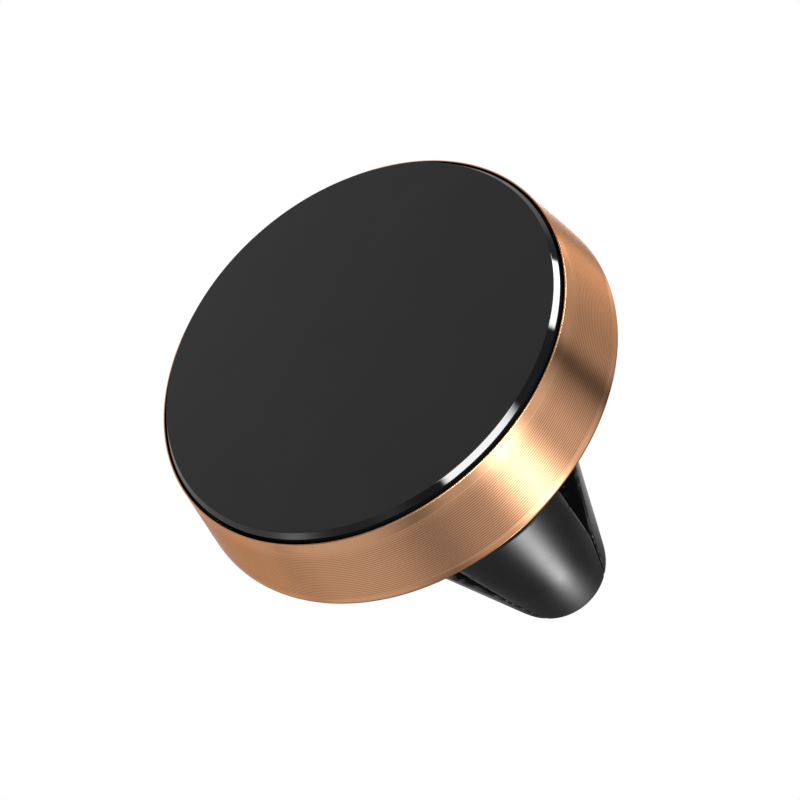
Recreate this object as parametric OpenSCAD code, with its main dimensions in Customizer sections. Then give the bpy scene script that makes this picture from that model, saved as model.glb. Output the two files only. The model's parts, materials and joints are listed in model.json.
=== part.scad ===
// Magnetic phone mount that plugs onto the blades of a car's air vent.
// The origin is the centre of the face that the phone rests on. The face looks along -Y,
// the vent clip points along +Y, and +Z is up. Sizes are in millimetres.
// Inside the modules the axis of the mount is Z, and depth is measured from the phone face.

/* [Head] */
// Largest diameter of the trim ring, at its back
head_d = 40; // [40:0.5:52]
// How much further out the trim ring's back edge stands than its front edge
ring_flare = 1.34; // [0.5:0.02:2]
// Rounding of the trim ring's back edge
ring_edge = 0.3; // [0.2:0.05:0.8]
// Wall of the trim ring round the face plate, at the front edge
ring_lip = 0.12; // [0.1:0.01:0.6]
// Wall of the trim ring round the rear cover
ring_wall = 1.7; // [1.2:0.1:2.5]
// Wall of the trim ring's inner web, inside the cover screws
web_wall = 0.6; // [0.4:0.1:1]
// Play between pieces that drop into each other in the head
drop_gap = 0.1; // [0.05:0.01:0.2]

/* [Lathe grooves] */
// Spacing of the fine grooves
groove_pitch = 0.21; // [0.15:0.01:0.6]
// Depth of the fine grooves
groove_depth = 0.03; // [0.02:0.01:0.12]
// Plain band in front of the grooves
groove_front = 0.9; // [0.5:0.1:2]
// Plain band behind the grooves
groove_back = 0.7; // [0.6:0.1:2]

/* [Face plate] */
// How far the glass stands in front of the trim ring
face_proud = 0.68; // [0.4:0.02:1.5]
// Thickness of the glass
face_thick = 1.8; // [1.6:0.1:3]
// Play of the glass in the trim ring
face_gap = 0.28; // [0.1:0.02:0.4]
// Width of the polished bevel, across the face
bevel_w = 0.34; // [0.2:0.02:0.8]
// Height of the polished bevel, along the axis
bevel_h = 0.46; // [0.2:0.02:0.8]
// Thickness of the foam tape under the glass
tape_thick = 0.3; // [0.1:0.05:0.8]

/* [Magnets] */
// Number of magnets
magnet_count = 6; // [4:1:6]
// Diameter of a magnet
magnet_d = 8; // [5:0.5:8]
// Thickness of a magnet
magnet_h = 2.5; // [1.5:0.1:4]
// Wall of the tray outside the magnets
tray_rim = 0.45; // [0.3:0.05:1]
// Radial play of a magnet in its pocket
magnet_gap = 0.05; // [0.02:0.01:0.15]
// Skin of the tray in front of the magnets
tray_skin = 0.3; // [0.2:0.1:1]
// Wall of the tray round its centre hole
tray_wall = 0.8; // [0.5:0.1:1.5]
// Thickness of the steel yoke ring
yoke_thick = 0.8; // [0.5:0.1:1.5]

/* [Rear cover] */
// Thickness of the rear cover
cover_thick = 2; // [1.6:0.1:3]
// How far the rear cover sits inside the trim ring's back edge
cover_recess = 0.6; // [0.1:0.1:1]
// Depth of the shallow dish in the rear cover
dish_depth = 0.4; // [0.2:0.1:0.8]
// Flat left on each side of the dish
dish_margin = 0.6; // [0.3:0.1:1]
// Number of cover screws
screw_count = 4; // [3:1:6]
// Diameter of a cover screw's shank
screw_d = 1.6; // [1.2:0.1:1.8]
// Length of a cover screw inside the trim ring
screw_bite = 2.8; // [2:0.1:3.2]
// Room in the ring past the screw's tip
screw_end = 0.2; // [0.1:0.1:0.6]
// Width of the screws' hex drive across its corners
drive_d = 1; // [0.8:0.1:1.2]
// Depth of the screws' hex drive
drive_depth = 0.55; // [0.4:0.05:0.6]
// Diameter of a cover screw's head
screw_head_d = 2.9; // [2.5:0.1:3.2]
// Height of a cover screw's head
screw_head_h = 0.8; // [0.6:0.1:1]
// Rim of the rear cover outside the screw heads
screw_rim = 0.25; // [0.15:0.05:0.6]

/* [Ball joint] */
// Diameter of the ball
ball_d = 11; // [9:0.1:13.5]
// Radial running clearance of the ball and of the liners
run_gap = 0.05; // [0.02:0.01:0.08]
// Thickness of the nylon liners
liner_t = 0.7; // [0.5:0.1:1]
// Wall of the socket at its deepest point
nose_wall = 1; // [0.8:0.1:1.4]
// Diameter of the hole at the pole of the front liner
pole_hole_d = 2; // [1:0.1:3]
// Height above the ball's centre at which the collar's opening starts to flare
throat_h = 2; // [1:0.1:3]
// Room between the foam tape and the socket's nose
nose_room = 1.9; // [1.5:0.1:3]
// Wall of the collar at the edge of its opening
lip_wall = 1.25; // [0.9:0.05:1.8]
// Wall of the socket boss at the ball's equator
boss_wall = 1.7; // [1.3:0.1:2.2]
// Wall of the socket collar round the boss
collar_wall = 1.6; // [1.4:0.1:2.2]
// Number of grip flutes round the collar
flute_count = 18; // [12:1:24]
// Depth of the grip flutes
flute_depth = 0.45; // [0.2:0.05:0.6]
// Radius of the cutter that makes the grip flutes
flute_r = 0.9; // [0.6:0.1:1.4]
// Tilt up and down, each way from straight, in degrees
tilt_max = 20; // [10:1:20]
// Swing left and right, each way from straight, in degrees
swing_max = 20; // [10:1:20]
// Room that the moving parts keep at the end of the tilt
tilt_gap = 0.3; // [0.2:0.05:0.5]
// Diameter of the stud's neck
neck_d = 4.6; // [4:0.1:5]
// Diameter of the stud's threaded end
thread_d = 4; // [3:0.1:4]

/* [Vent clip] */
// Thickness of the clip's flange
flange_t = 1.45; // [1.2:0.05:2.5]
// Gap between the flange and the root of each claw
root_gap = 0.15; // [0.1:0.05:0.3]
// Radius of the clip at the claws' roots
claw_root_r = 10.3; // [9.6:0.1:12]
// Length of the straight, tapered part of a claw
claw_taper_len = 19.3; // [16:0.1:24]
// Radius of the clip where the domed tip begins
claw_shoulder_r = 5.6; // [5:0.1:7]
// Height of the domed tip
dome_h = 3.9; // [2.5:0.1:5]
// Squareness of the domed tip, where 2 is an ellipse
dome_power = 3.9; // [2:0.1:5]
// Thickness of the silicone on a claw
sleeve_t = 1.2; // [0.8:0.1:1.4]
// Silicone ahead of a claw's core, at the tip
sleeve_tip = 3.4; // [2.4:0.1:4]
// Thickness of the silicone band round the flange
boot_t = 1.2; // [0.8:0.1:1.6]
// Bevel on the front edge of the silicone band
boot_edge = 0.4; // [0.2:0.05:0.6]
// Width of the wide slot at the claws' roots
slot_wide = 4.3; // [3:0.1:4.6]
// Width of the narrow slot at the claws' roots
slot_narrow = 2.2; // [1.6:0.1:3]
// Gap that is left between the claws near their tips
slot_tip = 0.3; // [0.2:0.1:1]
// Length over which the slots narrow
slot_run = 13; // [10:0.1:15]
// Number of grip ribs on each wall of the wide slot
rib_count = 5; // [3:1:6]
// Spacing of the grip ribs
rib_pitch = 1.4; // [1.2:0.1:1.6]
// Distance from a claw's root to the first grip rib
rib_first = 1.6; // [1:0.1:2.4]
// Length of a grip rib along the claw
rib_len = 0.8; // [0.6:0.05:1]
// Length of a grip rib's sloping flank
rib_flank = 0.2; // [0.1:0.05:0.25]
// Height of the grip ribs
rib_h = 0.2; // [0.1:0.05:0.3]
// Distance that the grip ribs keep from the claw's outside
rib_margin = 1.6; // [1.2:0.1:2.5]

/* [Clip hub] */
// Wall of the hub round the nut pocket
hub_wall = 1.2; // [0.8:0.1:1.6]
// Thickness of the hub's floor under the washer
hub_floor = 2.2; // [1.6:0.1:3]
// Depth that the stud's shoulder sinks into the hub
shoulder_sink = 1; // [0.5:0.1:1.4]
// Width of the nut across its flats
nut_af = 7; // [6:0.1:8.4]
// Thickness of the nut
nut_t = 2.2; // [1.8:0.1:3]
// Thickness of the washer
washer_t = 0.5; // [0.3:0.1:0.8]
// How far the hub's rim stands behind the nut
hub_proud = 0.5; // [0.3:0.1:1]
// How far the stud's end stands behind the nut
stud_proud = 0.6; // [0.4:0.1:1]
// Gap between the hub and the claws round it
hub_gap = 0.35; // [0.25:0.05:0.6]

/* [Hidden] */
$fn = 96;
far = 60;

// How far a cut runs past a face
over = 1;

// Head: depths from the phone face, and radii
web_front = face_thick + tape_thick;
magnet_front = web_front + tray_skin;
yoke_front = magnet_front + magnet_h;
cover_front = yoke_front + yoke_thick;
cover_back = cover_front + cover_thick;
ring_back = cover_back + cover_recess;
ring_len = ring_back - face_proud;
ring_front_r = head_d / 2 - ring_flare;
ring_bore_r = ring_front_r - ring_lip;
face_r = ring_bore_r - face_gap;
recess_r = head_d / 2 - ring_wall;
cover_r = recess_r - drop_gap;
screw_gap = 0.02;
screw_pcd_r = cover_r - screw_rim - screw_gap - screw_head_d / 2;
screw_tip = cover_front - screw_bite;
web_r = screw_pcd_r - screw_d / 2 - screw_gap - web_wall;
tray_r = web_r - drop_gap;
magnet_ring_r = tray_r - tray_rim - magnet_gap - magnet_d / 2;
tray_hole_r = magnet_ring_r - magnet_d / 2 - magnet_gap - tray_wall;

// Lathe grooves on the ring's cone
groove_count = floor((ring_len - groove_front - groove_back) / groove_pitch);
function ring_r(s) = ring_front_r + ring_flare * s / (ring_len - ring_edge);

// Ball joint: radii, and the line that the clip sweeps at the corner of its tilt
ball_r = ball_d / 2;
liner_in_r = ball_r + run_gap;
liner_out_r = liner_in_r + liner_t;
socket_r = liner_out_r + run_gap;
ball_depth = web_front + nose_room + nose_wall + socket_r;
boss_r = socket_r + boss_wall;
boss_front = (cover_front + cover_back) / 2;
collar_bore_r = boss_r + run_gap;
collar_r = collar_bore_r + collar_wall;
collar_front = cover_back - ball_depth + tilt_gap;
corner_tilt = acos(cos(tilt_max) * cos(swing_max));
opening = neck_d / 2 + tilt_gap;
sweep = sqrt(pow(socket_r + lip_wall, 2) - pow(opening, 2));
front_liner_edge = 0.48 * ball_r;
rear_liner_edge = 0.18 * ball_r;

// Radius of the collar's opening at a height above the ball's centre
function opening_r(a) = (opening + a * sin(corner_tilt)) / cos(corner_tilt);

// Height of the collar's coned back face at a radius
function sweep_a(r) = (sweep - r * sin(corner_tilt)) / cos(corner_tilt);

// Clip: depths from the phone face
clip_front = ball_depth + sweep + tilt_gap;
flange_back = clip_front + flange_t;
claw_root = flange_back + root_gap;
claw_shoulder = claw_root + claw_taper_len;
claw_tip = claw_shoulder + dome_h;
claw_slope = (claw_root_r - claw_shoulder_r) / claw_taper_len;
function claw_r(d) = claw_root_r - claw_slope * (d - claw_root);
flange_r = claw_r(flange_back) - boot_t;
hub_seat = clip_front + hub_floor;
nut_front = hub_seat + washer_t;
nut_back = nut_front + nut_t;
nut_gap = 0.05;
hub_back = nut_back + hub_proud;
hub_r = (nut_af / 2 + nut_gap) / cos(30) + hub_wall;
relief_r = hub_r + hub_gap;
relief_back = hub_back + hub_gap;
stud_end = nut_back + stud_proud;
rib_sink = sleeve_t / 2;
core_tip = claw_tip - sleeve_tip;

// Half the width of a slot at a depth, for a slot that is w wide at the claws' roots
function slot_half(w, d) = max(slot_tip / 2, w / 2 - (w - slot_tip) / 2 * (d - claw_root) / slot_run);

// Points on the domed tip, from the shoulder to the axis
function dome_u(t) = pow(sin(t), 2 / dome_power);
function dome_w(t) = pow(cos(t), 2 / dome_power);
function dome_point(t) = [
    claw_r(claw_shoulder + dome_h * dome_u(t)) * dome_w(t),
    claw_shoulder + dome_h * dome_u(t)
];

// Turns a piece from its own axis, Z, to the mount's axis, +Y
module to_use() {
    rotate([-90, 0, 0]) children();
}

// A washer-shaped solid between two depths
module annulus(outer_r, inner_r, from, to) {
    difference() {
        translate([0, 0, from]) cylinder(r = outer_r, h = to - from);
        translate([0, 0, from - over]) cylinder(r = inner_r, h = to - from + 2 * over);
    }
}

module face_plate() {
    color([0.02, 0.02, 0.02]) to_use() rotate_extrude() polygon([
        [0, 0],
        [face_r - bevel_w, 0],
        [face_r, bevel_h],
        [face_r, face_thick],
        [0, face_thick]
    ]);
}

module face_adhesive() {
    color([0.9, 0.9, 0.86]) to_use()
        translate([0, 0, face_thick]) cylinder(r = face_r, h = tape_thick);
}

// Outline of the turned outside of the ring, from its front edge to its back edge
ring_outside = concat(
    [[ring_bore_r, face_proud], [ring_r(0), face_proud]],
    [for (i = [0 : groove_count - 1], k = [0 : 2])
        let (s = groove_front + (i + k / 2) * groove_pitch)
        if (k < 2)
        [ring_r(s) - (k == 1 ? groove_depth : 0), face_proud + s]],
    [let (s = groove_front + groove_count * groove_pitch) [ring_r(s), face_proud + s]],
    [for (t = [0 : 15 : 90])
        [head_d / 2 - ring_edge * (1 - cos(t)), ring_back - ring_edge * (1 - sin(t))]]
);

module trim_ring() {
    color([0.78, 0.55, 0.42]) to_use() difference() {
        rotate_extrude() polygon(concat(ring_outside, [
            [recess_r, ring_back],
            [recess_r, cover_front],
            [web_r, cover_front],
            [web_r, web_front],
            [ring_bore_r, web_front]
        ]));
        for (i = [0 : screw_count - 1])
            rotate(45 + i * 360 / screw_count) translate([screw_pcd_r, 0, screw_tip - screw_end])
                cylinder(r = screw_d / 2 + screw_gap, h = far, $fn = 32);
    }
}

module magnet_tray() {
    color([0.25, 0.25, 0.27]) to_use() difference() {
        annulus(tray_r, tray_hole_r, web_front, yoke_front);
        for (i = [1 : magnet_count])
            rotate(i * 360 / magnet_count) translate([magnet_ring_r, 0, magnet_front])
                cylinder(r = magnet_d / 2 + magnet_gap, h = far, $fn = 64);
    }
}

module magnet(i) {
    color([0.75, 0.76, 0.78]) to_use()
        rotate(i * 360 / magnet_count) translate([magnet_ring_r, 0, magnet_front])
            cylinder(r = magnet_d / 2, h = magnet_h, $fn = 64);
}

module yoke_ring() {
    color([0.6, 0.6, 0.62]) to_use() annulus(tray_r, tray_hole_r, yoke_front, cover_front);
}

module rear_cover() {
    color([0.05, 0.05, 0.05]) to_use() difference() {
        union() {
            translate([0, 0, cover_front]) cylinder(r = cover_r, h = cover_thick);
            translate([0, 0, boss_front]) cylinder(r = boss_r, h = ball_depth - boss_front);
            intersection() {
                translate([0, 0, ball_depth]) sphere(r = socket_r + nose_wall);
                cylinder(r = boss_r, h = boss_front);
            }
        }
        translate([0, 0, ball_depth]) sphere(r = socket_r);
        annulus_cut(collar_r + dish_margin, screw_pcd_r - screw_head_d / 2 - dish_margin,
            cover_back - dish_depth);
        for (i = [0 : screw_count - 1])
            rotate(45 + i * 360 / screw_count) translate([screw_pcd_r, 0, 0]) {
                cylinder(r = screw_d / 2 + screw_gap, h = far, $fn = 32);
                screw_head(screw_gap);
            }
    }
}

// Ring-shaped cut from a depth outwards
module annulus_cut(inner_r, outer_r, from) {
    difference() {
        translate([0, 0, from]) cylinder(r = outer_r, h = far);
        translate([0, 0, from - over]) cylinder(r = inner_r, h = far + 2 * over);
    }
}

// Countersunk head of a cover screw, grown by a gap
module screw_head(gap) {
    translate([0, 0, cover_back - screw_head_h])
        cylinder(r1 = screw_d / 2 + gap, r2 = screw_head_d / 2 + gap, h = screw_head_h, $fn = 32);
}

module cover_screws() {
    color([0.5, 0.5, 0.52]) to_use()
        for (i = [0 : screw_count - 1])
            rotate(45 + i * 360 / screw_count) translate([screw_pcd_r, 0, 0])
                difference() {
                    union() {
                        translate([0, 0, screw_tip])
                            cylinder(r = screw_d / 2, h = cover_back - screw_head_h - screw_tip, $fn = 32);
                        screw_head(0);
                    }
                    translate([0, 0, cover_back - drive_depth])
                        cylinder(r = drive_d / 2, h = far, $fn = 6);
                }
}

module socket_collar() {
    color([0.08, 0.08, 0.08]) to_use() translate([0, 0, ball_depth]) difference() {
        rotate_extrude() polygon([
            [collar_bore_r, collar_front],
            [collar_r, collar_front],
            [collar_r, sweep_a(collar_r)],
            [
                sweep * sin(corner_tilt) + opening * cos(corner_tilt),
                sweep * cos(corner_tilt) - opening * sin(corner_tilt)
            ],
            [opening_r(throat_h), throat_h],
            [opening_r(throat_h), 0],
            [collar_bore_r, 0]
        ]);
        sphere(r = socket_r);
        for (i = [0 : flute_count - 1])
            rotate(i * 360 / flute_count)
                translate([collar_r + flute_r - flute_depth, 0, collar_front - over])
                cylinder(r = flute_r, h = far, $fn = 24);
    }
}

module seat_front() {
    color([0.92, 0.92, 0.88]) to_use() translate([0, 0, ball_depth]) difference() {
        sphere(r = liner_out_r);
        sphere(r = liner_in_r);
        translate([0, 0, -front_liner_edge]) cylinder(r = far, h = far);
        translate([0, 0, -far]) cylinder(r = pole_hole_d / 2, h = far);
    }
}

module seat_rear() {
    color([0.92, 0.92, 0.88]) to_use() translate([0, 0, ball_depth]) difference() {
        sphere(r = liner_out_r);
        sphere(r = liner_in_r);
        translate([0, 0, rear_liner_edge - far]) cylinder(r = far, h = far);
        cylinder(r1 = opening_r(0), r2 = opening_r(ball_d), h = ball_d);
    }
}

module ball_stud() {
    color([0.7, 0.7, 0.72]) to_use() {
        translate([0, 0, ball_depth]) sphere(r = ball_r);
        translate([0, 0, ball_depth])
            cylinder(r = neck_d / 2, h = clip_front + shoulder_sink - ball_depth, $fn = 48);
        translate([0, 0, ball_depth]) cylinder(r = thread_d / 2, h = stud_end - ball_depth, $fn = 48);
    }
}

module clip_base() {
    color([0.1, 0.1, 0.1]) to_use() difference() {
        union() {
            translate([0, 0, clip_front]) cylinder(r = flange_r, h = flange_t);
            translate([0, 0, clip_front]) cylinder(r = hub_r, h = hub_back - clip_front);
        }
        translate([0, 0, clip_front - over])
            cylinder(r = neck_d / 2 + nut_gap, h = shoulder_sink + over, $fn = 48);
        translate([0, 0, clip_front]) cylinder(r = thread_d / 2 + nut_gap, h = far, $fn = 48);
        translate([0, 0, hub_seat])
            cylinder(r = (nut_af / 2 + nut_gap) / cos(30), h = far, $fn = 6);
    }
}

module base_boot() {
    color([0.06, 0.06, 0.06]) to_use() rotate_extrude() polygon([
        [flange_r, clip_front],
        [claw_r(clip_front) - boot_edge, clip_front],
        [claw_r(clip_front + boot_edge), clip_front + boot_edge],
        [claw_r(flange_back), flange_back],
        [flange_r, flange_back]
    ]);
}

module stud_washer() {
    color([0.7, 0.7, 0.7]) to_use()
        annulus(nut_af / 2, thread_d / 2 + nut_gap, hub_seat, nut_front);
}

module stud_nut() {
    color([0.72, 0.72, 0.7]) to_use() difference() {
        translate([0, 0, nut_front]) cylinder(r = nut_af / 2 / cos(30), h = nut_t, $fn = 6);
        translate([0, 0, nut_front - over])
            cylinder(r = thread_d / 2 + run_gap, h = nut_t + 2 * over, $fn = 48);
    }
}

// The claws' common outside, a tapered plug with a domed tip, drawn in by inset
module claw_outside(inset) {
    rotate_extrude() polygon(concat(
        [[0, claw_root], [claw_root_r - inset, claw_root]],
        inset > 0
            ? [[claw_r(core_tip) - inset, core_tip], [0, core_tip]]
            : concat(
                [[claw_shoulder_r, claw_shoulder]],
                [for (t = [9 : 9 : 81]) dome_point(t)],
                [[0, claw_tip]]
            )
    ));
}

// Turns an outline of (distance from a slot's middle, depth) into a prism along the slot
module along_slot() {
    rotate([90, 0, 0]) linear_extrude(height = far, center = true) children();
}

// Everything on a claw's side of a slot that is w wide at the claws' roots
module slot_side(w, inset) {
    along_slot() polygon([
        [slot_half(w, claw_root) + inset, claw_root],
        [slot_half(w, claw_root + slot_run) + inset, claw_root + slot_run],
        [slot_tip / 2 + inset, far],
        [far, far],
        [far, claw_root]
    ]);
}

// The quarter of the plug between the two slots, drawn in by inset
module claw_block(inset) {
    intersection() {
        claw_outside(inset);
        slot_side(slot_narrow, inset);
        rotate(90) slot_side(slot_wide, inset);
    }
}

// The grip ribs of one claw, sunk into the wall of its wide slot
module claw_ribs() {
    intersection() {
        claw_outside(rib_margin);
        slot_side(slot_narrow, rib_margin);
        rotate(90) along_slot()
            for (k = [0 : rib_count - 1])
                let (d = claw_root + rib_first + k * rib_pitch)
                    polygon([
                        [slot_half(slot_wide, d) + rib_sink, d],
                        [slot_half(slot_wide, d) - rib_h, d + rib_flank],
                        [slot_half(slot_wide, d) - rib_h, d + rib_len - rib_flank],
                        [slot_half(slot_wide, d) + rib_sink, d + rib_len]
                    ]);
    }
}

// Turns the pieces of claw 1 into those of claw i, and clears them of the hub
module claw_place(i) {
    mirror([i == 2 || i == 3 ? 1 : 0, 0, 0]) mirror([0, i > 2 ? 1 : 0, 0]) difference() {
        union() children();
        cylinder(r = relief_r, h = relief_back);
    }
}

module claw_core(i) {
    color([0.3, 0.3, 0.32]) to_use() claw_place(i) claw_block(sleeve_t);
}

module claw_sleeve(i) {
    color([0.06, 0.06, 0.06]) to_use() difference() {
        claw_place(i) {
            claw_block(0);
            claw_ribs();
        }
        claw_place(i) claw_block(sleeve_t);
    }
}

face_plate();
face_adhesive();
trim_ring();
magnet_tray();
for (i = [1 : magnet_count])
    magnet(i);
yoke_ring();
rear_cover();
cover_screws();
socket_collar();
seat_front();
seat_rear();
ball_stud();
clip_base();
base_boot();
stud_washer();
stud_nut();
for (i = [1 : 4])
    claw_core(i);
for (i = [1 : 4])
    claw_sleeve(i);
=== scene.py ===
"""Looks for the magnetic vent mount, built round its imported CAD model.

Lengths in the shape code are millimetres, in the CAD frame: the mount's axis is +Y,
depth is measured from the phone face, and +Z is up. Meshes are made in metres.
"""
import json
import math

import bpy
import numpy as np
from mathutils import Matrix, Vector


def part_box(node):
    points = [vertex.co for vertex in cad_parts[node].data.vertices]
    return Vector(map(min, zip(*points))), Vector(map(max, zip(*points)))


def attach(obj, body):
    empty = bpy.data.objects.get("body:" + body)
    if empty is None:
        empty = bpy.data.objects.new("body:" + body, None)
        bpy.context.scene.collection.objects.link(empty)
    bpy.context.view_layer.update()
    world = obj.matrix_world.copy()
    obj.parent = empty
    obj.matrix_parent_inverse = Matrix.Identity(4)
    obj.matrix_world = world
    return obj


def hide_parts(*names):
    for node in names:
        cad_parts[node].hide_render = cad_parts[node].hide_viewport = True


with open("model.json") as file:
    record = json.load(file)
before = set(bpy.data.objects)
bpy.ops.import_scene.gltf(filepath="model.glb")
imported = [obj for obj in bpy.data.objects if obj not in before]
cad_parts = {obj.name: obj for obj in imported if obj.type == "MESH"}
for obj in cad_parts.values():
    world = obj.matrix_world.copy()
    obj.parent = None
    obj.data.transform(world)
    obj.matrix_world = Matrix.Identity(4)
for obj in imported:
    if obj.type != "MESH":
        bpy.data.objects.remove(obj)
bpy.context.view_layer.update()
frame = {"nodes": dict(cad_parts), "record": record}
scene = bpy.context.scene

MM = 0.001
BODY_OF = {n: b for b, nodes in frame["record"]["behaviour"]["bodies"].items() for n in nodes}
SLOT_OF = {s["node"]: s["material_slot"] for s in frame["record"]["subparts"]}


def span(node):
    """Largest radius round the axis, front depth and back depth of a CAD node, in mm."""
    low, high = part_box(node)
    return high.x / MM, low.y / MM, high.y / MM


# ---------------------------------------------------------------- outlines and meshes

def fillet(corners, closed=True, steps=5):
    """An outline of (radius, depth) points from corners (radius, depth, rounding).

    Each rounded corner becomes an arc with a support point on either side of it, which
    keeps the smooth shading of the arc off the flats beside it.
    """
    count = len(corners)
    points = []
    for i, (r, d, rounding) in enumerate(corners):
        here = np.array([r, d], float)
        if rounding <= 0 or (not closed and i in (0, count - 1)):
            points.append(here)
            continue
        before = np.array(corners[i - 1][:2], float) - here
        after = np.array(corners[(i + 1) % count][:2], float) - here
        len_before, len_after = np.linalg.norm(before), np.linalg.norm(after)
        before, after = before / len_before, after / len_after
        half = math.acos(max(-1.0, min(1.0, float(before @ after)))) / 2
        reach = min(rounding / math.tan(half), 0.45 * len_before, 0.45 * len_after)
        radius = reach * math.tan(half)
        bisector = (before + after) / np.linalg.norm(before + after)
        centre = here + bisector * radius / math.sin(half)
        start, end = here + before * reach, here + after * reach
        a0, a1 = start - centre, end - centre
        turn = math.acos(max(-1.0, min(1.0, float(a0 @ a1) / radius ** 2)))
        points.append(start + before * min(0.12 * reach + 0.02, 0.04 * len_before))
        for k in range(steps + 1):
            t = k / steps
            points.append(centre + (math.sin((1 - t) * turn) * a0 + math.sin(t * turn) * a1)
                          / math.sin(turn))
        points.append(end + after * min(0.12 * reach + 0.02, 0.04 * len_after))
    return points


def new_piece(name, points, faces, stands_for, sharp=32):
    """Makes a mesh piece from mm points and puts it in the place of a CAD node."""
    mesh = bpy.data.meshes.new(name)
    mesh.from_pydata((np.asarray(points) * MM).tolist(), [], faces)
    mesh.validate()
    mesh.update()
    piece = bpy.data.objects.new(name, mesh)
    scene.collection.objects.link(piece)
    bpy.context.view_layer.objects.active = piece
    turn_faces_out(mesh)
    mesh.polygons.foreach_set("use_smooth", [True] * len(mesh.polygons))
    mesh.set_sharp_from_angle(angle=math.radians(sharp))
    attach(piece, BODY_OF[stands_for])
    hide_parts(stands_for)
    mesh.materials.append(FINISHES[SLOT_OF[stands_for]])
    return piece


def turn_faces_out(mesh):
    """Flips the faces of a closed mesh if they look inwards."""
    mesh.calc_loop_triangles()
    count = len(mesh.loop_triangles)
    corners = np.zeros(count * 3, np.int32)
    mesh.loop_triangles.foreach_get("vertices", corners)
    co = np.zeros(len(mesh.vertices) * 3)
    mesh.vertices.foreach_get("co", co)
    a, b, c = (co.reshape(-1, 3)[corners.reshape(-1, 3)[:, k]] for k in range(3))
    if np.einsum("ij,ij->i", a, np.cross(b, c)).sum() < 0:
        mesh.flip_normals()


def lathe(name, outline_at, stands_for, segments, closed=True, sharp=32):
    """Turns an outline round the axis. outline_at(angle) gives the (radius, depth) points."""
    angles = [2 * math.pi * i / segments for i in range(segments)]
    rows = [outline_at(a) for a in angles]
    width = len(rows[0])
    points, index = [], {}
    for i, (a, row) in enumerate(zip(angles, rows)):
        for k, (r, d) in enumerate(row):
            if r < 1e-9 and i > 0:
                index[i, k] = index[0, k]
                continue
            index[i, k] = len(points)
            points.append((r * math.cos(a), d, r * math.sin(a)))
    faces = []
    for i in range(segments):
        j = (i + 1) % segments
        for k in range(width if closed else width - 1):
            m = (k + 1) % width
            ring = [index[i, k], index[i, m], index[j, m], index[j, k]]
            face = [v for n, v in enumerate(ring) if v != ring[n - 1]]
            if len(face) > 2:
                faces.append(face)
    return new_piece(name, points, faces, stands_for, sharp)


# ---------------------------------------------------------------- the ring's measures

ring_r, ring_front, ring_back = span("trim_ring")
ring_len = ring_back - ring_front
GROOVE_PITCH, GROOVE_DEPTH = 0.21, 0.011
GROOVE_FRONT, GROOVE_END = 0.9, 0.7  # plain lengths before the first and after the last
GROOVE_SHAPE = [(0, 0), (0.6, 0), (0.8, 1)]  # share of the pitch, share of the depth
groove_start = ring_front + GROOVE_FRONT
groove_count = int((ring_back - GROOVE_END - groove_start) / GROOVE_PITCH + 1e-6)
FACE_GAP = 0.28
bore_r = span("face_plate")[0] + FACE_GAP

# ---------------------------------------------------------------- materials

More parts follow.
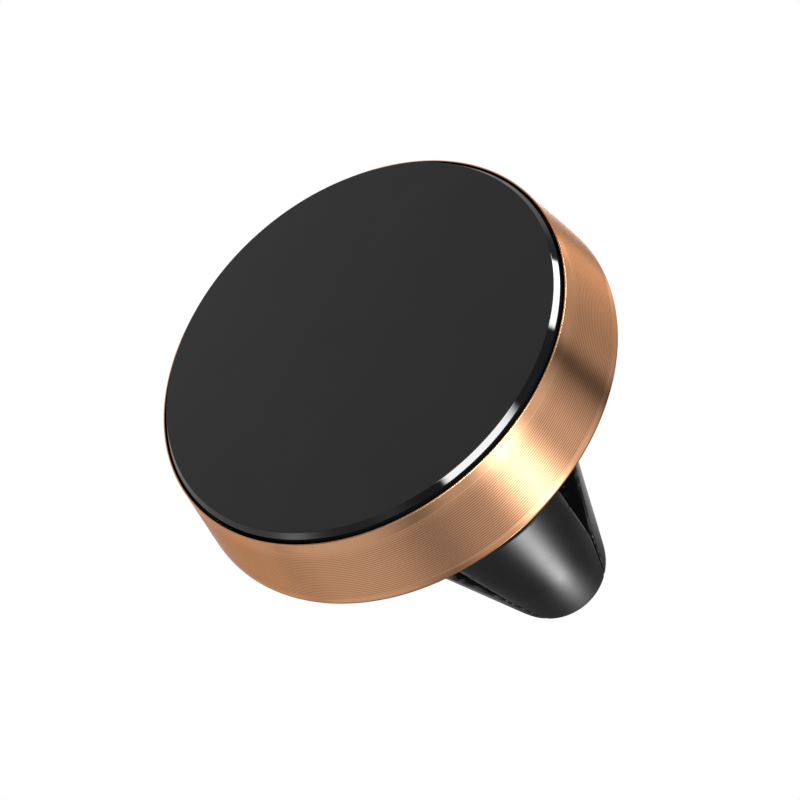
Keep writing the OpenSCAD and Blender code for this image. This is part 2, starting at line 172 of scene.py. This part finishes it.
class Finish:
    """A Principled material whose colour, roughness and bump are procedural."""

    def __init__(self, name, base, rough, **sockets):
        self.material = bpy.data.materials.new(name)
        self.material.use_nodes = True
        self.tree = self.material.node_tree
        self.shader = self.tree.nodes["Principled BSDF"]
        self.shader.inputs["Base Color"].default_value = (*base, 1)
        self.shader.inputs["Roughness"].default_value = rough
        for socket, value in sockets.items():
            self.shader.inputs[socket.replace("_", " ")].default_value = value
        self.material.diffuse_color = (*base, 1)
        self.coord = self.node("ShaderNodeTexCoord").outputs["Object"]
        self.normal = None

    def node(self, kind, **settings):
        node = self.tree.nodes.new(kind)
        for key, value in settings.items():
            setattr(node, key, value)
        return node

    def put(self, socket, value):
        """Links an output to a socket, or sets the socket to a value."""
        if isinstance(value, bpy.types.NodeSocket):
            self.tree.links.new(value, socket)
        else:
            socket.default_value = value

    def math(self, operation, a, b=0.0):
        node = self.node("ShaderNodeMath", operation=operation)
        self.put(node.inputs[0], a)
        self.put(node.inputs[1], b)
        return node.outputs[0]

    def place(self):
        """The x, the depth, the z and the radius round the axis of a point, in metres."""
        xyz = self.node("ShaderNodeSeparateXYZ")
        self.put(xyz.inputs[0], self.coord)
        x, depth, z = xyz.outputs
        squares = self.math("ADD", self.math("MULTIPLY", x, x), self.math("MULTIPLY", z, z))
        return x, depth, z, self.math("SQRT", squares)

    def turned(self, along, round_axis=6.0):
        """Coordinates that change fast along the radius and the depth and slowly round Y."""
        x, depth, z, radius = self.place()
        radius = self.math("MAXIMUM", radius, 1e-5)
        made = self.node("ShaderNodeCombineXYZ")
        self.put(made.inputs[0],
                 self.math("MULTIPLY", self.math("ADD", radius, depth), along))
        for k, side in ((1, x), (2, z)):
            self.put(made.inputs[k],
                     self.math("MULTIPLY", self.math("DIVIDE", side, radius), round_axis))
        return made.outputs[0]

    def noise(self, scale=1.0, detail=3.0, coord=None, distortion=0.0):
        node = self.node("ShaderNodeTexNoise")
        self.put(node.inputs["Vector"], self.coord if coord is None else coord)
        node.inputs["Scale"].default_value = scale
        node.inputs["Detail"].default_value = detail
        node.inputs["Distortion"].default_value = distortion
        return node.outputs["Fac"]

    def spread(self, value, low, high, from_low=0.3, from_high=0.7):
        """Maps a value from one range to another, and holds it at the ends."""
        node = self.node("ShaderNodeMapRange")
        self.put(node.inputs["Value"], value)
        node.inputs["From Min"].default_value = from_low
        node.inputs["From Max"].default_value = from_high
        node.inputs["To Min"].default_value = low
        node.inputs["To Max"].default_value = high
        return node.outputs["Result"]

    def colour(self, value, dark, light):
        """Sets the base colour between two tones by a value such as a noise."""
        ramp = self.node("ShaderNodeValToRGB")
        self.put(ramp.inputs["Fac"], value)
        for element, at, rgb in zip(ramp.color_ramp.elements, (0.3, 0.7), (dark, light)):
            element.position = at
            element.color = (*rgb, 1)
        self.put(self.shader.inputs["Base Color"], ramp.outputs["Color"])

    def shade(self, amount, tint):
        """Multiplies the base colour by a tint, as far as the amount says."""
        tone = self.shader.inputs["Base Color"]
        mixed = self.node("ShaderNodeMixRGB", blend_type="MULTIPLY")
        self.put(mixed.inputs["Fac"], amount)
        self.put(mixed.inputs["Color1"], tone.links[0].from_socket)
        mixed.inputs["Color2"].default_value = (*tint, 1)
        self.put(tone, mixed.outputs[0])

    def rough(self, value, low, high):
        """Sets the roughness between two levels by a value such as a noise."""
        self.put(self.shader.inputs["Roughness"], self.spread(value, low, high))

    def duller(self, amount):
        """Adds to the roughness that is there."""
        rough = self.shader.inputs["Roughness"]
        self.put(rough, self.math("ADD", rough.links[0].from_socket, amount))

    def rounded(self, radius):
        """Softens the shading of sharp edges over a radius in mm."""
        node = self.node("ShaderNodeBevel", samples=4)
        node.inputs["Radius"].default_value = radius * MM
        self.normal = node.outputs["Normal"]
        self.put(self.shader.inputs["Normal"], self.normal)

    def bump(self, height, depth):
        """Bump of a depth in mm, on top of the bump that is there."""
        node = self.node("ShaderNodeBump")
        node.inputs["Strength"].default_value = 1.0
        node.inputs["Distance"].default_value = depth * MM
        self.put(node.inputs["Height"], height)
        if self.normal is not None:
            self.put(node.inputs["Normal"], self.normal)
        self.normal = node.outputs["Normal"]
        self.put(self.shader.inputs["Normal"], self.normal)

    def ring_tangent(self):
        """Spreads the gloss across marks that run round the axis."""
        tangent = self.node("ShaderNodeTangent", direction_type="RADIAL", axis="Y")
        self.put(self.shader.inputs["Tangent"], tangent.outputs[0])
        self.shader.inputs["Anisotropic Rotation"].default_value = 0.25


def times(rgb, factor):
    return tuple(c * factor for c in rgb)


def grained(name, base, rough, grain_mm, depth, edge=0.0, vary=0.2, **sockets):
    """Moulded plastic or rubber: a fine grain, a slow drift of tone and gloss, soft edges."""
    f = Finish(name, base, rough, **sockets)
    if edge:
        f.rounded(edge)
    slow = f.noise(scale=180, detail=4)
    f.colour(slow, times(base, 1 - vary), times(base, 1 + vary))
    fine = f.noise(scale=1 / (grain_mm * MM), detail=2)
    f.rough(f.math("ADD", f.math("MULTIPLY", slow, 0.5), f.math("MULTIPLY", fine, 0.5)),
            rough * 0.88, rough * 1.14)
    f.bump(fine, depth)
    return f.material


def turned_metal(name, base, rough, mark_mm, depth, edge=0.0, vary=0.08, anisotropy=0.5,
                 **sockets):
    """Metal with fine marks that run round the axis, and a slow drift of tone."""
    f = Finish(name, base, rough, Metallic=1.0, Anisotropic=anisotropy, **sockets)
    f.ring_tangent()
    if edge:
        f.rounded(edge)
    f.colour(f.noise(scale=140, detail=5), times(base, 1 - vary), times(base, 1 + vary / 2))
    marks = f.noise(detail=3, coord=f.turned(1 / (mark_mm * MM)))
    f.rough(marks, rough * 0.8, rough * 1.25)
    f.bump(marks, depth)
    return f


COPPER = (0.82, 0.435, 0.245)
# Tints of painted shade on the copper: the first for the groove bottoms and the rear lip, the
# second, near black, for the bore behind the glass.
PAINTED_SHADE_TINT, PAINTED_BORE_SHADE = (0.42, 0.36, 0.33), (0.02, 0.02, 0.02)
GROOVE_DARK = 0.78             # share of the pitch at which the painted groove shade is darkest
GROOVE_FADE = (0.05, 0.22)     # and how far to each side the painted shade holds and ends
GROOVES_BEGIN = (-0.5, 5.0)    # pitches over which the painted shade grows in behind the front
GROOVES_STOP = (-0.5, 0.2)     # and dies out round the last groove
REAR_SHADE = (0.42, 0.3)       # mm in front of the back edge, where painted shade darkens the rear lip
BORE_SHADE = (0.01, 0.03)      # mm outside the bore, where its painted shade ends
LIP_DULL, LIP_FADE = 0.2, (0.04, 0.1)  # roughness added at the front edge, and its end


def copper():
    """Copper-coloured anodised aluminium: turned grooves, with painted shade at their bottoms.

    The rear lip has painted shade too, the bore behind the glass is painted near black as
    shade, and the front edge is duller than the cone.
    """
    f = turned_metal("anodised_copper", COPPER, 0.15, 0.05, 0.00006, vary=0.035,
                     anisotropy=0.3, Specular_Tint=(0.85, 0.6, 0.45, 1))
    _, depth, _, radius = f.place()
    # Painted shade: the copper is darkened at the bottom of every groove, fading in behind the
    # plain front and out round the last groove.
    turns = f.math("DIVIDE", f.math("SUBTRACT", depth, groove_start * MM), GROOVE_PITCH * MM)
    off = f.math("ABSOLUTE", f.math("SUBTRACT", f.math("FRACT", turns), GROOVE_DARK))
    groove = f.spread(off, 1.0, 0.0, *GROOVE_FADE)
    inside = f.math("MULTIPLY", f.spread(turns, 0.0, 1.0, *GROOVES_BEGIN),
                    f.spread(turns, 1.0, 0.0, *(groove_count + n for n in GROOVES_STOP)))
    groove = f.math("MULTIPLY", groove, inside)
    # Painted shade: the rear lip darkens towards the back edge, with the same tint as the
    # groove shade.
    rear = f.spread(depth, 0.0, 1.0, *((ring_back - n) * MM for n in REAR_SHADE))
    f.shade(f.math("MAXIMUM", groove, rear), PAINTED_SHADE_TINT)
    # Painted shade: the copper bore behind the glass is made near black.
    f.shade(f.spread(radius, 1.0, 0.0, *((bore_r + n) * MM for n in BORE_SHADE)), PAINTED_BORE_SHADE)
    f.duller(f.spread(depth, LIP_DULL, 0.0, *((ring_front + n) * MM for n in LIP_FADE)))
    return f.material


def glass():
    """Black glass with faint smears and hairlines left by wiping."""
    f = Finish("black_glass", (0.0035, 0.0035, 0.004), 0.06, IOR=1.5)
    smear = f.noise(scale=90, detail=6, distortion=1.4)
    f.colour(smear, (0.003, 0.003, 0.0034), (0.0044, 0.0044, 0.005))
    stretch = f.node("ShaderNodeMapping")
    stretch.inputs["Scale"].default_value = (900, 900, 26000)
    stretch.inputs["Rotation"].default_value = (0.2, 0.5, 0.1)
    f.put(stretch.inputs["Vector"], f.coord)
    hair = f.noise(detail=1, coord=stretch.outputs[0])
    f.rough(f.math("ADD", f.math("MULTIPLY", smear, 0.8), f.math("MULTIPLY", hair, 0.2)),
            0.02, 0.045)
    f.bump(hair, 0.00003)
    return f.material


def foam():
    """Closed-cell foam tape."""
    f = Finish("foam_tape", (0.82, 0.82, 0.78), 0.9)
    cells = f.node("ShaderNodeTexVoronoi", feature="SMOOTH_F1")
    f.put(cells.inputs["Vector"], f.coord)
    cells.inputs["Scale"].default_value = 7000
    far = cells.outputs["Distance"]
    f.colour(far, (0.78, 0.78, 0.73), (0.86, 0.86, 0.82))
    f.rough(far, 0.84, 0.96)
    f.bump(far, 0.02)
    return f.material


RUB, RUB_FROM, RUB_TO = 0.28, 33, 42  # roughness added at the tips, and its depths in mm


def silicone():
    """Black silicone, glossy along the claws and rubbed duller towards their tips."""
    f = Finish("claw_silicone", (0.003, 0.003, 0.0033), 0.25, Specular_IOR_Level=0.08)
    slow = f.noise(scale=180, detail=4)
    f.colour(slow, (0.0024, 0.0024, 0.0027), (0.0036, 0.0036, 0.004))
    fine = f.noise(scale=9000, detail=2)
    f.rough(f.math("ADD", f.math("MULTIPLY", slow, 0.5), f.math("MULTIPLY", fine, 0.5)),
            0.22, 0.28)
    f.duller(f.spread(f.place()[1], 0.0, RUB, RUB_FROM * MM, RUB_TO * MM))
    f.bump(fine, 0.0012)
    return f.material


def plated(name, base, rough, edge=0.08):
    """Plated steel: a crystalline mottle under the shine."""
    f = Finish(name, base, rough, Metallic=1.0)
    f.rounded(edge)
    cells = f.node("ShaderNodeTexVoronoi", feature="F1")
    f.put(cells.inputs["Vector"], f.coord)
    cells.inputs["Scale"].default_value = 3500
    mottle = cells.outputs["Distance"]
    f.colour(mottle, times(base, 0.9), times(base, 1.08))
    f.rough(f.noise(scale=2500, detail=4), rough * 0.8, rough * 1.3)
    f.bump(f.noise(scale=9000, detail=2), 0.002)
    return f.material


# One finish for each material slot of the record.
FINISHES = {
    "black_glass": glass(),
    "foam_tape": foam(),
    "copper_anodised": copper(),
    "tray_plastic": grained("tray_plastic", (0.12, 0.12, 0.13), 0.5, 0.15, 0.008, edge=0.1),
    "magnet_nickel": plated("magnet_nickel", (0.66, 0.64, 0.6), 0.16),
    "yoke_steel": plated("yoke_steel", (0.56, 0.56, 0.57), 0.3),
    "cover_plastic": grained("cover_plastic", (0.018, 0.018, 0.019), 0.46, 0.16, 0.010,
                             edge=0.12),
    "screw_steel": turned_metal("screw_steel", (0.5, 0.5, 0.52), 0.28, 0.05, 0.002,
                                edge=0.05).material,
    "collar_plastic": grained("collar_plastic", (0.022, 0.022, 0.024), 0.4, 0.14, 0.006),
    "liner_nylon": grained("liner_nylon", (0.75, 0.74, 0.69), 0.42, 0.2, 0.006, edge=0.08,
                           vary=0.05, Subsurface_Weight=0.1),
    "stud_steel": turned_metal("stud_steel", (0.62, 0.62, 0.63), 0.16, 0.05, 0.001,
                               edge=0.06).material,
    "hub_plastic": grained("hub_plastic", (0.02, 0.02, 0.021), 0.45, 0.14, 0.008, edge=0.12),
    "boot_silicone": grained("boot_silicone", (0.007, 0.007, 0.0075), 0.36, 0.11, 0.005,
                             Specular_IOR_Level=0.36),
    "prong_plastic": grained("prong_plastic", (0.1, 0.1, 0.11), 0.5, 0.15, 0.008, edge=0.1),
    "claw_silicone": silicone(),
}
for node, cad in frame["nodes"].items():
    cad.data.materials.clear()
    cad.data.materials.append(FINISHES[SLOT_OF[node]])

# ---------------------------------------------------------------- head

face_r, face_front, face_back = span("face_plate")
BEVEL_W, BEVEL_H = 0.34, 0.46
face_outline = fillet([
    (0, face_front, 0), (face_r - BEVEL_W, face_front, 0.03), (face_r, BEVEL_H, 0.03),
    (face_r, face_back, 0.05), (0, face_back, 0)], closed=False)
lathe("face_glass", lambda a: face_outline, "face_plate", 256, closed=False)

RING_FLARE, RING_EDGE, RECESS_GAP = 1.34, 0.3, 0.1
recess_r = span("rear_cover")[0] + RECESS_GAP
web_r, cover_front = span("yoke_ring")[0] + RECESS_GAP, span("yoke_ring")[2]
web_front = span("magnet_tray")[1]


def cone_r(s):
    """Radius of the ring's cone at a distance behind its front edge."""
    return ring_r - RING_FLARE * (1 - s / (ring_len - RING_EDGE))


groove_run = [
    (cone_r(s) - GROOVE_DEPTH * deep, ring_front + s, 0)
    for k in range(groove_count)
    for along, deep in GROOVE_SHAPE
    for s in [GROOVE_FRONT + (k + along) * GROOVE_PITCH]]
plain = [(cone_r(s), ring_front + s, 0) for s in (0.3, 0.6, 0.8)]
behind = [(cone_r(s), ring_front + s, 0) for s in (ring_len - 0.6, ring_len - 0.45)]
rim = [(ring_r - RING_EDGE * (1 - math.cos(t)), ring_back - RING_EDGE * (1 - math.sin(t)), 0)
       for t in np.linspace(0, math.pi / 2, 9)]
ring_outline = fillet(
    [(bore_r, ring_front, 0.03), (cone_r(0), ring_front, 0.05)] + plain + groove_run + behind
    + rim + [(ring_r - RING_EDGE - 0.1, ring_back, 0), (recess_r + 0.1, ring_back, 0),
             (recess_r, ring_back, 0.12), (recess_r, cover_front, 0), (web_r, cover_front, 0),
             (web_r, web_front, 0), (bore_r, web_front, 0)])
lathe("ring_copper", lambda a: ring_outline, "trim_ring", 480, sharp=30)

# ---------------------------------------------------------------- socket collar

collar_r, collar_front, _ = span("socket_collar")
BALL_R, BORE_R = 5.5, 8.05
ball_d = span("ball_stud")[1] + BALL_R  # depth of the ball's centre
FLUTES, FLUTE_DEPTH, FLUTE_R, FLUTE_SOFT = 18, 0.45, 0.9, 0.16
TILT_LIMIT = math.radians(20)
CORNER_TILT = math.acos(math.cos(TILT_LIMIT) ** 2)  # tilt and swing at their limits
OPENING, SOCKET_R, LIP_WALL = 2.6, 6.3, 1.25
sweep = math.sqrt((SOCKET_R + LIP_WALL) ** 2 - OPENING ** 2)


def opening_r(a):
    """Radius of the cone that clears the ball's neck, at a distance behind its centre."""
    return (OPENING + a * math.sin(CORNER_TILT)) / math.cos(CORNER_TILT)


def back_face(r):
    """Depth of the collar's coned back face at a radius."""
    return ball_d + (sweep - r * math.sin(CORNER_TILT)) / math.cos(CORNER_TILT)


def collar_outline(angle):
    """The collar's outline at an angle, drawn in where a grip flute passes."""
    step = 2 * math.pi / FLUTES
    off = (angle + step / 2) % step - step / 2
    centre = collar_r + FLUTE_R - FLUTE_DEPTH
    side = centre * math.sin(off)
    cut = collar_r + 1
    if abs(side) < FLUTE_R:
        cut = centre * math.cos(off) - math.sqrt(FLUTE_R ** 2 - side ** 2)
    blend = max(FLUTE_SOFT - abs(collar_r - cut), 0) / FLUTE_SOFT
    r = min(collar_r, cut) - blend * blend * FLUTE_SOFT / 4
    lip_r = sweep * math.sin(CORNER_TILT) + OPENING * math.cos(CORNER_TILT)
    lip_d = ball_d + sweep * math.cos(CORNER_TILT) - OPENING * math.sin(CORNER_TILT)
    # The mouth is the circle in which the cone meets the round socket.
    lean, rim_r = math.tan(CORNER_TILT), opening_r(0)
    mouth_d = (math.sqrt(SOCKET_R ** 2 * (1 + lean ** 2) - rim_r ** 2)
               - rim_r * lean) / (1 + lean ** 2)
    bowl = [(SOCKET_R * math.cos(t), ball_d + SOCKET_R * math.sin(t), 0)
            for t in np.linspace(math.atan2(mouth_d, opening_r(mouth_d)), 0, 14)[1:]]
    return fillet(
        [(BORE_R, collar_front, 0.15), (r, collar_front, 0.3), (r, back_face(r), 0.35),
         (lip_r, lip_d, 0.12), (opening_r(mouth_d), ball_d + mouth_d, 0)] + bowl
        + [(BORE_R, ball_d, 0)])


lathe("collar", collar_outline, "socket_collar", FLUTES * 28)

# ---------------------------------------------------------------- clip

_, boot_front, boot_back = span("base_boot")
root, tip = span("claw_core_1")[1], span("claw_sleeve_1")[2]
ROOT_R, SHOULDER_R, TAPER, DOME_H, DOME_POWER = 10.3, 5.6, 19.3, 3.9, 3.9
CLAW_SLOPE = (ROOT_R - SHOULDER_R) / TAPER
shoulder = root + TAPER
RELIEF_R = 5.65
relief_back = span("clip_base")[2] + 0.35
SLOT_NARROW, SLOT_WIDE, SLOT_TIP, SLOT_RUN = 2.2, 4.3, 0.3, 13.0
RIBS, RIB_FIRST, RIB_PITCH, RIB_LEN, RIB_H, RIB_MARGIN = 5, 1.6, 1.4, 0.8, 0.2, 1.6


def claw_r(d):
    """Radius of the claws' taper at a depth."""
    return ROOT_R - CLAW_SLOPE * (d - root)


BOOT_WALL = 1.2
flange_r = claw_r(boot_back) - BOOT_WALL
boot_outline = fillet([
    (flange_r, boot_front, 0), (claw_r(boot_front) - 0.4, boot_front, 0.25),
    (claw_r(boot_front + 0.4), boot_front + 0.4, 0.3), (claw_r(boot_back), boot_back, 0.2),
    (flange_r, boot_back, 0)])
lathe("boot", lambda a: boot_outline, "base_boot", 192)


def half_slot(w, d):
    """Half the width of a slot at a depth."""
    return np.maximum(SLOT_TIP / 2, w / 2 - (w - SLOT_TIP) / 2 * (d - root) / SLOT_RUN)


def ribs(d):
    """Height of the rounded grip ribs at a depth."""
    height = np.zeros_like(d)
    for k in range(RIBS):
        middle = root + RIB_FIRST + k * RIB_PITCH + RIB_LEN / 2
        t = np.clip(1 - np.abs(d - middle) / (RIB_LEN / 2), 0, 1)
        height = np.maximum(height, RIB_H * np.sqrt(1 - (1 - np.clip(1.6 * t, 0, 1)) ** 2))
    return height


def outside(x, y, q):
    """Above zero outside the claw in the quarter x > 0, q > 0, with rounded edges."""
    rho = np.hypot(x, q)
    r = claw_r(y)
    rise = np.clip((y - shoulder) / DOME_H, 0, None)
    shell = r * (((rho / r) ** DOME_POWER + rise ** DOME_POWER) ** (1 / DOME_POWER) - 1)
    side = half_slot(SLOT_NARROW, y) - x
    inward = np.clip((np.minimum(-shell, -side) - RIB_MARGIN) / 0.15, 0, 1)
    walls = np.stack([
        shell, side, half_slot(SLOT_WIDE, y) - ribs(y) * inward - q, root - y])
    edge = np.interp(y, [root + 4, shoulder - 2], [0.4, 0.14])
    rounded = (np.minimum(-edge, walls.max(0))
               + np.sqrt((np.maximum(walls + edge, 0) ** 2).sum(0)))
    relief = np.minimum(RELIEF_R - rho, relief_back - y)
    return np.maximum(rounded, relief)


COLUMNS = 176
MIDDLE = 0.25 * math.pi + 0.03         # direction from the axis to the claw's spine
LONG_EDGES = (-172, -78, -22, 112)     # degrees round the spine, where the columns crowd
CROWD, CROWD_WIDTH = 3.0, 0.22
RAY_STEP, RAY_END = 0.1, 16.0


def ray_angles():
    """Angles round the spine, closer together at the claw's long edges."""
    theta = np.linspace(0, 2 * math.pi, 3601)
    crowd = np.ones_like(theta)
    for edge in np.radians(LONG_EDGES):
        gap = (theta - edge + math.pi) % (2 * math.pi) - math.pi
        crowd += CROWD * np.exp(-(gap / CROWD_WIDTH) ** 2)
    total = np.concatenate([[0], np.cumsum((crowd[1:] + crowd[:-1]) / 2)])
    return np.interp(np.arange(COLUMNS) / COLUMNS * total[-1], total, theta)


def ray_rows(first, last):
    """Depth on the spine and lean of each ring of rays: a fan at either end, level between."""
    ribs_end = root + RIB_FIRST + RIBS * RIB_PITCH + 0.4
    fine = np.arange(first, ribs_end, 0.075)
    level = np.sort(np.concatenate([
        fine, [relief_back - 0.01, relief_back + 0.01], np.linspace(fine[-1], last, 42)[1:]]))
    rows = [(first, -t) for t in np.linspace(math.pi / 2, 0, 34)[1:-1]]
    rows += [(y, 0.0) for y in level]
    rows += [(last, t) for t in np.linspace(0, math.pi / 2, 40)[1:-1]]
    return np.array(rows).T[:, :, None]


def surface_points(x0, y0, q0, dx, dy, dq):
    """Where rays from inside the claw leave it: stepped to the first way out, then halved."""
    def is_out(t):
        return outside(x0 + t * dx, y0 + t * dy, q0 + t * dq) > 0

    inner, outer = np.zeros_like(dx), np.full_like(dx, RAY_END)
    hit = np.zeros_like(dx, bool)
    for t in np.linspace(RAY_STEP, RAY_END, round(RAY_END / RAY_STEP)):
        out = is_out(t)
        fresh = out & ~hit
        outer[fresh] = t
        inner[fresh] = t - RAY_STEP
        hit |= out
    for _ in range(26):
        middle = (inner + outer) / 2
        out = is_out(middle)
        outer = np.where(out, middle, outer)
        inner = np.where(out, inner, middle)
    t = (inner + outer) / 2
    return np.stack([x0 + t * dx, y0 + t * dy, q0 + t * dq], -1)


def tip_depth(x, q, low, high):
    """Depth at which a line along the axis leaves the claw, between two depths."""
    for _ in range(40):
        middle = np.array([(low + high) / 2])
        if outside(x + 0 * middle, middle, q + 0 * middle)[0] > 0:
            high = middle[0]
        else:
            low = middle[0]
    return low


def claw_mesh():
    """Points and faces of the claw in x > 0, q > 0, by rays from a spine inside it."""
    spine_y = np.array([root + 2.2, relief_back, relief_back + 3, shoulder - 4, shoulder + 0.6])
    spine_r = np.array([8.0, 7.5, 6.2, 3.9, 3.0])
    y0, lean = ray_rows(spine_y[0], spine_y[-1])
    r0 = np.interp(y0, spine_y, spine_r)
    x0, q0 = r0 * math.sin(MIDDLE), r0 * math.cos(MIDDLE)
    theta = ray_angles()[None]
    dx, dq = np.cos(theta) * np.cos(lean), np.sin(theta) * np.cos(lean)
    grid = surface_points(x0, y0, q0, dx, np.sin(lean) + 0 * dx, dq)
    x_tip, q_tip = x0[-1, 0], q0[-1, 0]
    points = np.concatenate([grid.reshape(-1, 3), [
        [x0[0, 0], root, q0[0, 0]],
        [x_tip, tip_depth(x_tip, q_tip, spine_y[-1], tip + 1), q_tip]]])
    count = len(y0)
    first_pole, last_pole = count * COLUMNS, count * COLUMNS + 1
    faces = []
    for j in range(COLUMNS):
        k = (j + 1) % COLUMNS
        faces.append([first_pole, j, k])
        for i in range(count - 1):
            a = i * COLUMNS
            faces.append([a + j, a + COLUMNS + j, a + COLUMNS + k, a + k])
        faces.append([last_pole, (count - 1) * COLUMNS + k, (count - 1) * COLUMNS + j])
    return points, faces


claw_points, claw_faces = claw_mesh()
for number, (sx, sz) in enumerate([(1, -1), (-1, -1), (-1, 1), (1, 1)], 1):
    turned = np.stack([sx * claw_points[:, 0], claw_points[:, 1], sz * claw_points[:, 2]], 1)
    new_piece(f"claw_skin_{number}", turned, claw_faces, f"claw_sleeve_{number}", sharp=40)

# ---------------------------------------------------------------- camera

LENS, SENSOR = 90, 36
RIGHT = (0.84847, 0.46027, 0.26124)
UP = (0.01837, -0.51892, 0.85462)
BACK = (0.5289, -0.7203, -0.4487)
PLACE = (0.08959, -0.11326, -0.07652)
camera = bpy.data.objects.new("camera", bpy.data.cameras.new("camera"))
camera.data.lens, camera.data.sensor_width = LENS, SENSOR
camera.data.clip_start, camera.data.clip_end = 0.01, 20
turn = Matrix((RIGHT, UP, BACK)).transposed().to_4x4()
camera.matrix_world = Matrix.Translation(Vector(PLACE)) @ turn
scene.collection.objects.link(camera)
scene.camera = camera

# ---------------------------------------------------------------- floor and light

bpy.ops.mesh.primitive_circle_add(vertices=96, radius=3, fill_type="NGON",
                                  location=(0, 0, -0.2))
floor = bpy.context.active_object
floor.name = "floor"
floor.visible_glossy = floor.visible_diffuse = floor.visible_shadow = False
pale = Finish("pale_floor", (0.86, 0.86, 0.86), 0.7)
pale.colour(pale.noise(scale=3, detail=2), (0.85, 0.85, 0.85), (0.87, 0.87, 0.87))
floor.data.materials.append(pale.material)


# Patches of the studio's surroundings, in degrees, with azimuth 0 at -Y and 90 at +X. The
# columns are azimuth, elevation, half width, half height, rise per degree of azimuth, power
# of the edge (a high one is crisp), and the light that the patch adds (above 0) or the share
# of the base light that it takes away (below 0).
BASE_LIGHT = 0.8
PATCHES = [
    (30, 10, 88, 100, 0, 3, -0.95),
    (180, 0, 34, 22, 0, 2, -0.95),
    (122, 24, 60, 6.5, 0.02, 1, -0.8),
    (156, -54, 28, 9, 0, 1, -0.76),
    (143, 40, 18, 8, 0, 1, -0.3),
    (-134, -31, 9, 5, 0, 1, -0.3),
    (201, 50, 17, 12, 0, 8, -0.3),
    (-38, 29, 34, 26, 0, 3, 0.45),
    (123, -19, 34, 10, 0.2, 1, 4.4),
    (122, 4, 40, 7, 0.02, 1, 0.4),
    (172.5, -7, 7, 6, 0.6, 1, 20.0),
    (55, -25, 13, 21, 0, 12, 28.0),
    (77, 49, 12, 17, 0, 12, 28.0),
    (177, 51, 9, 9, 0, 1, 0.8),
    (-146, 34, 12, 12, 0, 1, 2.0),
    (-68, -53, 12, 8, 0, 1, 2.6),
    (15, -64, 18, 5, 0, 1, 0.8),
]


def studio_light():
    """Surroundings of soft patches for the lighting, and white behind the object."""
    world = bpy.data.worlds.new("studio")
    scene.world = world
    world.use_nodes = True
    tree = world.node_tree
    tree.nodes.clear()

    def node(kind, **settings):
        made = tree.nodes.new(kind)
        for key, value in settings.items():
            setattr(made, key, value)
        return made

    def calc(operation, a, b=0.0):
        made = node("ShaderNodeMath", operation=operation)
        for socket, value in zip(made.inputs, (a, b)):
            if isinstance(value, bpy.types.NodeSocket):
                tree.links.new(value, socket)
            else:
                socket.default_value = value
        return made.outputs[0]

    xyz = node("ShaderNodeSeparateXYZ")
    tree.links.new(node("ShaderNodeTexCoord").outputs["Generated"], xyz.inputs[0])
    x, y, z = xyz.outputs
    azimuth_here = calc("DEGREES", calc("ARCTAN2", x, calc("MULTIPLY", y, -1.0)))
    elevation_here = calc("DEGREES", calc("ARCSINE", z))

    light, added = BASE_LIGHT, None
    for azimuth, elevation, half_w, half_h, slope, power, amount in PATCHES:
        off = calc("SUBTRACT", azimuth_here, azimuth)
        off = calc("SUBTRACT", calc("FLOORED_MODULO", calc("ADD", off, 180.0), 360.0), 180.0)
        rise = calc("SUBTRACT", calc("SUBTRACT", elevation_here, elevation),
                    calc("MULTIPLY", off, slope))
        a, b = calc("DIVIDE", off, half_w), calc("DIVIDE", rise, half_h)
        square = calc("ADD", calc("POWER", calc("ABSOLUTE", a), 2.0 * power),
                      calc("POWER", calc("ABSOLUTE", b), 2.0 * power))
        patch = calc("POWER", math.e, calc("MULTIPLY", square, -1.0))
        if amount < 0:
            light = calc("MULTIPLY", light, calc("ADD", 1.0, calc("MULTIPLY", patch, amount)))
        else:
            more = calc("MULTIPLY", patch, amount)
            added = more if added is None else calc("ADD", added, more)
    light = calc("ADD", light, added)
    surroundings = node("ShaderNodeBackground")
    tree.links.new(light, surroundings.inputs["Strength"])
    white = node("ShaderNodeBackground")
    white.inputs["Color"].default_value = (1, 1, 1, 1)
    seen = node("ShaderNodeLightPath").outputs["Is Camera Ray"]
    mix = node("ShaderNodeMixShader")
    tree.links.new(seen, mix.inputs["Fac"])
    tree.links.new(surroundings.outputs[0], mix.inputs[1])
    tree.links.new(white.outputs[0], mix.inputs[2])
    tree.links.new(mix.outputs[0], node("ShaderNodeOutputWorld").inputs["Surface"])


studio_light()
scene.view_settings.view_transform = "Standard"
scene.view_settings.look = "None"
